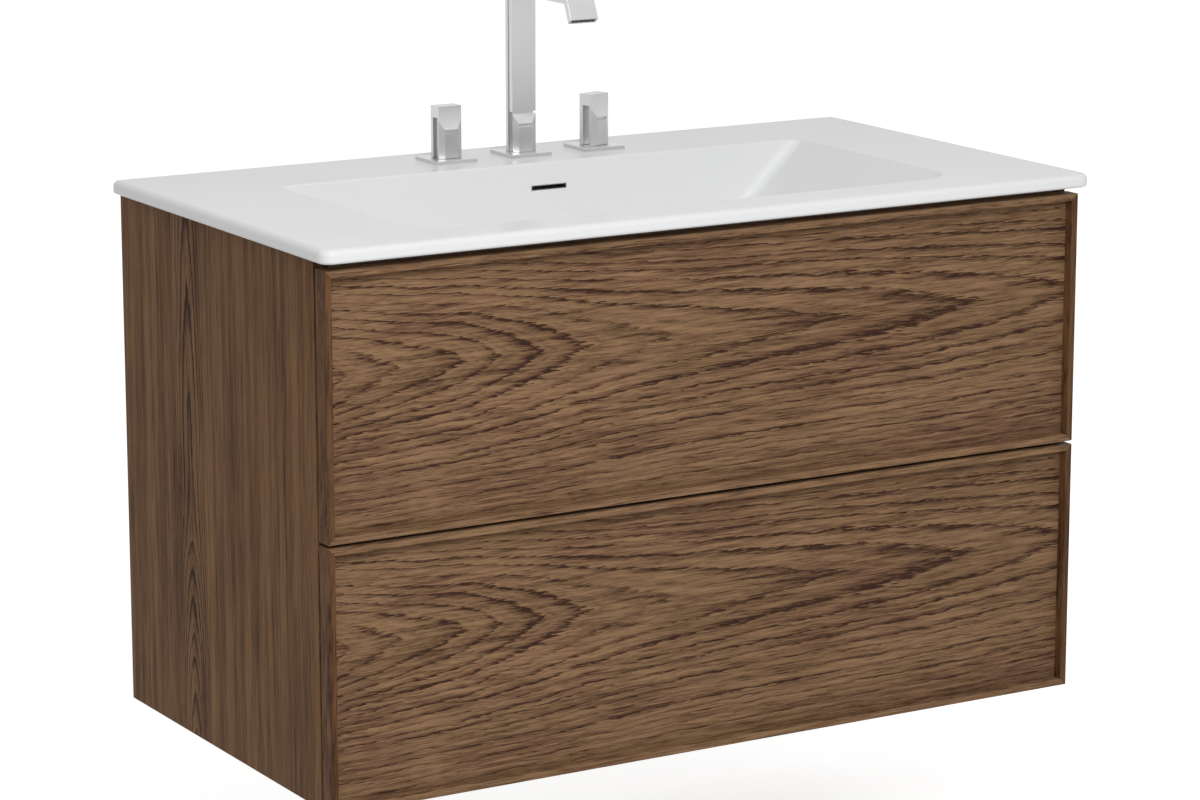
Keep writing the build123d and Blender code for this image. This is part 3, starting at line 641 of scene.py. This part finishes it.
def take(piece):
    """Selects one piece and nothing else, and makes it active."""
    bpy.ops.object.select_all(action="DESELECT")
    piece.select_set(True)
    bpy.context.view_layer.objects.active = piece


def select_inside(piece, kind, wanted):
    """Opens a piece in edit mode with only the wanted faces or corners selected."""
    take(piece)
    bpy.ops.object.mode_set(mode="EDIT")
    bpy.ops.mesh.select_mode(type=kind)
    bpy.ops.mesh.select_all(action="DESELECT")
    mesh = bmesh.from_edit_mesh(piece.data)
    for element in {"VERT": mesh.verts, "FACE": mesh.faces}[kind]:
        if wanted(element):
            element.select_set(True)
    mesh.select_flush_mode()
    bmesh.update_edit_mesh(piece.data)


def leave():
    bpy.ops.object.mode_set(mode="OBJECT")


def rename(piece, name):
    piece.name = name
    piece.data.name = name
    return piece


def new_block(name, low, high):
    """A block between two corners, added as a primitive at its size and place."""
    low, high = Vector(low), Vector(high)
    bpy.ops.object.select_all(action="DESELECT")
    bpy.ops.mesh.primitive_cube_add(size=1, location=(low + high) / 2, scale=high - low)
    bpy.ops.object.transform_apply(location=True, rotation=True, scale=True)
    return rename(bpy.context.active_object, name)


def apply_modifier(piece, kind, **settings):
    take(piece)
    modifier = piece.modifiers.new(kind.title(), kind)
    for name, value in settings.items():
        setattr(modifier, name, value)
    bpy.ops.object.modifier_apply(modifier=modifier.name)


def ease_edges(piece, width):
    """Rounds every sharp edge a little, and keeps the flats flat to the eye."""
    take(piece)
    bpy.ops.object.shade_smooth()
    apply_modifier(
        piece, "BEVEL", width=width, segments=BEVEL_STEPS, limit_method="ANGLE",
        angle_limit=SHARP_ANGLE, use_clamp_overlap=True, harden_normals=True,
    )
    apply_modifier(piece, "WEIGHTED_NORMAL", keep_sharp=True, weight=NORMAL_WEIGHT)


def copied(piece, name, shift):
    """A copy with its own mesh, moved into place."""
    take(piece)
    bpy.ops.object.duplicate()
    copy = rename(bpy.context.active_object, name)
    bpy.ops.transform.translate(value=shift)
    bpy.ops.object.transform_apply(location=True, rotation=True, scale=True)
    return copy


def joined(pieces, name):
    take(pieces[0])
    for piece in pieces:
        piece.select_set(True)
    bpy.ops.object.join()
    return rename(bpy.context.active_object, name)


def eased_copy(node_name, width):
    """A merged copy of a node with eased edges, which stands for the node."""
    source = frame["nodes"][node_name]
    piece = bpy.data.objects.new(node_name + "_finished", source.data.copy())
    bpy.context.scene.collection.objects.link(piece)
    piece.data.materials.clear()
    take(piece)
    bpy.ops.mesh.customdata_custom_splitnormals_clear()
    bpy.ops.object.mode_set(mode="EDIT")
    bpy.ops.mesh.select_all(action="SELECT")
    bpy.ops.mesh.remove_doubles(threshold=WELD)
    bpy.ops.mesh.dissolve_limited(angle_limit=FLAT_ANGLE)
    leave()
    ease_edges(piece, width)
    return piece


def set_on(piece, finish, body, slot, *nodes):
    """Gives a finished piece its finish, its body and the nodes it stands for. The slot is not used."""
    if finish:
        piece.data.materials.clear()
        piece.data.materials.append(finish)
    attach(piece, body)
    if nodes:
        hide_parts(*nodes)


def body_of(node_name):
    return frame["nodes"][node_name]["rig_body"]


def ease_node(node_name, finish, slot, width):
    set_on(eased_copy(node_name, width), finish, body_of(node_name), slot, node_name)


def finish_nodes(finish, *names):
    """Gives CAD nodes whose shape stays as it is their finish."""
    for name in names:
        slots = frame["nodes"][name].material_slots
        if not slots:
            raise RuntimeError(f"{name} has no material slot")
        for each in slots:
            each.material = finish


# Operators, one for each group of pieces

class VANITY_OT_carcass(bpy.types.Operator):
    """Finishes the two oak sides, and the bottom and rails between them"""

    bl_idname = "vanity.carcass"
    bl_label = "Carcass"

    def execute(self, context):
        oak = context.scene.vanity_oak
        upright = oak_finish(
            "Oak sides", ("Z", "Y", "X"), (SIDE_LOW.z, -oak.side_crown), SIDE_CROWNS, oak.side_rings,
            oak.side_tint, crown_point=0.12, ring_strength=1.7, ring_fade=55.0, wander=5.0,
            waviness=1.5, jag=0.4, fibre=1.1, band=0.6, long_band=1.3,
        )
        for name in ("carcass_side_left", "carcass_side_right"):
            ease_node(name, upright, "oak_grain_upright", oak.arris)
        across = board_finish("Carcass board", ("X", "Y", "Z"))
        finish_nodes(across, "carcass_bottom", "upper_rear_rail", "lower_rear_rail", "front_rail")
        return {"FINISHED"}


class VANITY_OT_fixings(bpy.types.Operator):
    """Finishes the wall plates, the hanging brackets and the cam fasteners"""

    bl_idname = "vanity.fixings"
    bl_label = "Hanging and fixings"

    def execute(self, context):
        zinc = zinc_finish()
        finish_nodes(zinc, "wall_plates", "hanging_brackets", "cam_fasteners")
        return {"FINISHED"}


class VANITY_OT_fronts(bpy.types.Operator):
    """Makes the drawer fronts: a frame of four mitred lippings round a set-back panel"""

    bl_idname = "vanity.fronts"
    bl_label = "Drawer fronts"

    def lipping(self, name, low, high, along, inner_side):
        """A bar whose ends are cut back by its width on its inner side, across one axis."""
        bar = new_block(name, low, high)
        across = 2 - along
        inner = (low, high)[inner_side > 0][across]
        for end, direction in ((low[along], 1), (high[along], -1)):
            select_inside(
                bar, "VERT", lambda v: abs(v.co[along] - end) < TOUCH and abs(v.co[across] - inner) < TOUCH
            )
            shift = [0, 0, 0]
            shift[along] = direction * LIP_WIDTH
            bpy.ops.transform.translate(value=shift)
            leave()
        ease_edges(bar, bpy.context.scene.vanity_oak.arris)
        return bar

    def execute(self, context):
        oak = context.scene.vanity_oak
        quiet = {"ring_strength": 0.5, "wander": 3.0, "waviness": 1.0}
        level = oak_finish("Oak lippings, level", ("X", "Z", "Y"), (0, 0), **quiet)
        upright = oak_finish("Oak lippings, upright", ("Z", "X", "Y"), (0, 0), tint=oak.lipping_tint, **quiet)
        low, high = FRAME_LOW, FRAME_HIGH
        bars = []
        for name, bar_low, bar_high, along, inner_side in (
            ("top", (low.x, low.y, high.z - LIP_WIDTH), high, 0, -1),
            ("bottom", low, (high.x, high.y, low.z + LIP_WIDTH), 0, 1),
            ("left", low, (low.x + LIP_WIDTH, high.y, high.z), 2, 1),
            ("right", (high.x - LIP_WIDTH, low.y, low.z), high, 2, -1),
        ):
            bar = self.lipping("lipping_" + name, bar_low, bar_high, along, inner_side)
            bar.data.materials.append(upright if along else level)
            bars.append(bar)
        upper = joined(bars, "upper_front_lippings")
        lower = copied(upper, "lower_front_lippings", (0, 0, -FRONT_STEP))
        set_on(upper, None, "upper_drawer", "oak", "upper_front_frame")
        set_on(lower, None, "lower_drawer", "oak", "lower_front_frame")

        panel = new_block("upper_front_board", PANEL_LOW, PANEL_HIGH)
        ease_edges(panel, oak.arris / 2)
        second = copied(panel, "lower_front_board", (0, 0, -FRONT_STEP))
        for piece, drop, which in ((panel, 0, "upper"), (second, FRONT_STEP, "lower")):
            crown = PANEL_HIGH.z - oak.crown_drop - drop
            figure = oak_finish(
                f"Oak front, {which}", ("X", "Z", "Y"), (FRAME_LOW.x, crown), FRONT_CROWNS, oak.front_rings
            )
            set_on(piece, figure, which + "_drawer", "oak", which + "_front_panel")
        return {"FINISHED"}


class VANITY_OT_drawer_boxes(bpy.types.Operator):
    """Finishes the boards of the two drawer boxes"""

    bl_idname = "vanity.drawer_boxes"
    bl_label = "Drawer boxes"

    def execute(self, context):
        across = board_finish("Box board, grain across", ("X", "Z", "Y"))
        deep = board_finish("Box board, grain front to back", ("Y", "Z", "X"))
        flat = board_finish("Box bottom board", ("X", "Y", "Z"))
        finish_nodes(across, "upper_box_front", "upper_box_back_halves", "lower_box_front", "lower_box_back")
        sides = [f"{level}_box_side_{hand}" for level in ("upper", "lower") for hand in ("left", "right")]
        finish_nodes(deep, *sides, "upper_trap_guard")
        finish_nodes(flat, "upper_box_bottom", "lower_box_bottom")
        return {"FINISHED"}


class VANITY_OT_runners(bpy.types.Operator):
    """Finishes the four drawer runners, each with three members"""

    bl_idname = "vanity.runners"
    bl_label = "Runners"

    def execute(self, context):
        zinc = bpy.data.materials["Zinc plated steel"]
        for level in ("upper", "lower"):
            for member in ("cabinet", "middle", "drawer"):
                finish_nodes(zinc, f"{level}_runner_{member}_members")
        return {"FINISHED"}


class VANITY_OT_latches(bpy.types.Operator):
    """Finishes the push latches and their plungers"""

    bl_idname = "vanity.latches"
    bl_label = "Push latches"

    def execute(self, context):
        grey = moulded_finish(
            "Latch plastic", context.scene.vanity_moulded.latch, grain=0.0009, deep=0.00004, gloss=0.5
        )
        for level in ("upper", "lower"):
            plungers = [f"{level}_latch_plunger_{hand}" for hand in ("left", "right")]
            finish_nodes(grey, level + "_latch_housings", *plungers)
        return {"FINISHED"}


class VANITY_OT_basin(bpy.types.Operator):
    """Finishes the ceramic basin and its overflow, with painted shade in the overflow's channel"""

    bl_idname = "vanity.basin"
    bl_label = "Basin"

    def execute(self, context):
        finish_nodes(glaze_finish(), "basin")
        finish_nodes(chrome_finish(), "overflow_trim")
        # Painted shade: the channel behind the overflow slot gets a near-black finish for the dark inside it.
        dark = moulded_finish(
            "Channel painted shade", context.scene.vanity_moulded.channel, grain=0.0009, deep=0.00002, gloss=0.5
        )
        set_on(self.channel(), dark, "carcass", "outlet_plastic")
        return {"FINISHED"}

    def channel(self):
        """The channel behind the overflow slot, open towards the bowl, whose near-black finish is painted
        shade.
        """
        slot_low, slot_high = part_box("overflow_trim")
        wall = CHANNEL_WALL
        low = (slot_low.x - 2 * wall, slot_high.y - wall, slot_low.z - CHANNEL_DROP)
        high = (slot_high.x + 2 * wall, slot_high.y + CHANNEL_DEPTH, slot_high.z + 2 * wall)
        channel = new_block("overflow_channel", low, high)
        select_inside(channel, "FACE", lambda face: face.normal.y < -0.9)
        bpy.ops.mesh.delete(type="FACE")
        leave()
        apply_modifier(channel, "SOLIDIFY", thickness=wall, offset=-1.0)
        ease_edges(channel, CHANNEL_EDGE)
        return channel


class VANITY_OT_waste(bpy.types.Operator):
    """Finishes the waste, the trap and their pipes"""

    bl_idname = "vanity.waste"
    bl_label = "Waste and trap"

    def execute(self, context):
        moulded = context.scene.vanity_moulded
        finish_nodes(bpy.data.materials["Polished chrome"], "waste_flange", "waste_nut", "waste_plug")
        rubber = moulded_finish("Seal rubber", moulded.rubber, grain=0.0007, deep=0.00003, gloss=0.7)
        finish_nodes(rubber, "waste_seal")
        white = moulded_finish("Pipe plastic", moulded.pipe, grain=0.0012, deep=0.00002, gloss=0.35)
        finish_nodes(white, "tail_pipe", "trap", "trap_outlet_pipe", "slip_nuts")
        return {"FINISHED"}


class VANITY_OT_tap(bpy.types.Operator):
    """Makes the spout, the two handles and their plates, and finishes what holds them under the deck"""

    bl_idname = "vanity.tap"
    bl_label = "Basin tap"

    def execute(self, context):
        arris = context.scene.vanity_metal.arris
        chrome = bpy.data.materials["Polished chrome"]
        for name in ("spout", "hot_handle", "cold_handle"):
            ease_node(name, chrome, "chrome", arris)
        finish_nodes(chrome, "spout_plate", "hot_valve_plate", "cold_valve_plate")
        brass = brass_finish()
        finish_nodes(brass, "hot_valve_body", "cold_valve_body", "hot_spindle", "cold_spindle", "spout_shank")
        finish_nodes(bpy.data.materials["Zinc plated steel"], "back_nuts")
        outlet = moulded_finish(
            "Outlet plastic", context.scene.vanity_moulded.outlet, grain=0.0005, deep=0.00002, gloss=0.4
        )
        finish_nodes(outlet, "spout_outlet")
        return {"FINISHED"}


class VANITY_OT_stage(bpy.types.Operator):
    """Sets up the pale floor, the soft light and the camera"""

    bl_idname = "vanity.stage"
    bl_label = "Studio"

    def execute(self, context):
        studio = context.scene.vanity_studio
        self.lay_floor(studio)
        self.light(context, studio)
        bpy.ops.object.camera_add(location=CAMERA_PLACE)
        camera = rename(context.active_object, "camera")
        level = math.cos(CAMERA_TILT)
        back = Vector(
            (math.sin(CAMERA_HEADING) * level, -math.cos(CAMERA_HEADING) * level, math.sin(CAMERA_TILT))
        )
        camera.rotation_mode = "QUATERNION"
        camera.rotation_quaternion = (-back).to_track_quat("-Z", "Y")
        camera.data.lens = studio.lens
        camera.data.sensor_width = SENSOR_WIDTH
        context.scene.camera = camera
        context.scene.view_settings.view_transform = "Standard"
        return {"FINISHED"}

    def seen_directly(self, tree):
        """One for what the camera, a reflection or a clear surface sees, zero for light on the object."""
        rays = node(tree, "ShaderNodeLightPath").outputs
        mirrored = maths(tree, "MAXIMUM", rays["Is Glossy Ray"], rays["Is Transmission Ray"])
        return maths(tree, "MAXIMUM", rays["Is Camera Ray"], mirrored)

    def lay_floor(self, studio):
        bpy.ops.object.select_all(action="DESELECT")
        bpy.ops.mesh.primitive_plane_add(size=FLOOR_SIZE, location=(0, 0, DECK_TOP - studio.deck_height))
        bpy.ops.object.transform_apply(location=True, rotation=True, scale=True)
        floor = rename(bpy.context.active_object, "studio_floor")
        finish, tree, shader = new_finish("Pale floor")
        shader.inputs["Base Color"].default_value = opaque(studio.floor)
        shader.inputs["Roughness"].default_value = 1.0
        shader.inputs["Specular IOR Level"].default_value = 0.0
        strength = maths(tree, "MULTIPLY", self.seen_directly(tree), FLOOR_GLOW)
        glow = node(tree, "ShaderNodeEmission", {"Strength": strength})
        both = node(tree, "ShaderNodeAddShader", {0: shader.outputs[0], 1: glow.outputs[0]})
        tree.links.new(both.outputs[0], tree.nodes["Material Output"].inputs["Surface"])
        floor.data.materials.append(finish)

    def light(self, context, studio):
        world = bpy.data.worlds.new("Studio sky")
        context.scene.world = world
        world.use_nodes = True
        tree = world.node_tree
        strength = remap(tree, self.seen_directly(tree), 0.0, 1.0, studio.sky, 1.0)
        tree.links.new(strength, tree.nodes["Background"].inputs["Strength"])
        tree.nodes["Background"].inputs["Color"].default_value = (1, 1, 1, 1)
        turn = (KEY_AIM - KEY_PLACE).to_track_quat("-Z", "Y").to_euler()
        bpy.ops.object.light_add(type="AREA", location=KEY_PLACE, rotation=turn)
        key = rename(context.active_object, "key_light")
        key.data.shape = "DISK"
        key.data.size = KEY_SIZE
        key.data.energy = studio.key


OPERATORS = (
    VANITY_OT_carcass,
    VANITY_OT_fixings,
    VANITY_OT_fronts,
    VANITY_OT_drawer_boxes,
    VANITY_OT_runners,
    VANITY_OT_latches,
    VANITY_OT_basin,
    VANITY_OT_waste,
    VANITY_OT_tap,
    VANITY_OT_stage,
)


class VANITY_PT_panel(bpy.types.Panel):
    """Lists the unit's operators and their sizes and colours"""

    bl_label = "Vanity unit"
    bl_idname = "VANITY_PT_panel"
    bl_space_type = "VIEW_3D"
    bl_region_type = "UI"
    bl_category = "Vanity unit"

    def draw(self, context):
        for name, kind in FINISHES.items():
            box = self.layout.box()
            for label in kind.__annotations__:
                box.prop(getattr(context.scene, name), label)
        for operator in OPERATORS:
            self.layout.operator(operator.bl_idname)


def register():
    for kind in (*FINISHES.values(), *OPERATORS, VANITY_PT_panel):
        bpy.utils.register_class(kind)
    for name, kind in FINISHES.items():
        setattr(bpy.types.Scene, name, bpy.props.PointerProperty(type=kind))


def unregister():
    for name in FINISHES:
        delattr(bpy.types.Scene, name)
    for kind in (VANITY_PT_panel, *reversed(OPERATORS), *reversed(FINISHES.values())):
        bpy.utils.unregister_class(kind)


def main():
    register()
    for operator in OPERATORS:
        group, name = operator.bl_idname.split(".")
        getattr(getattr(bpy.ops, group), name)()


if __name__ == "__main__":
    main()
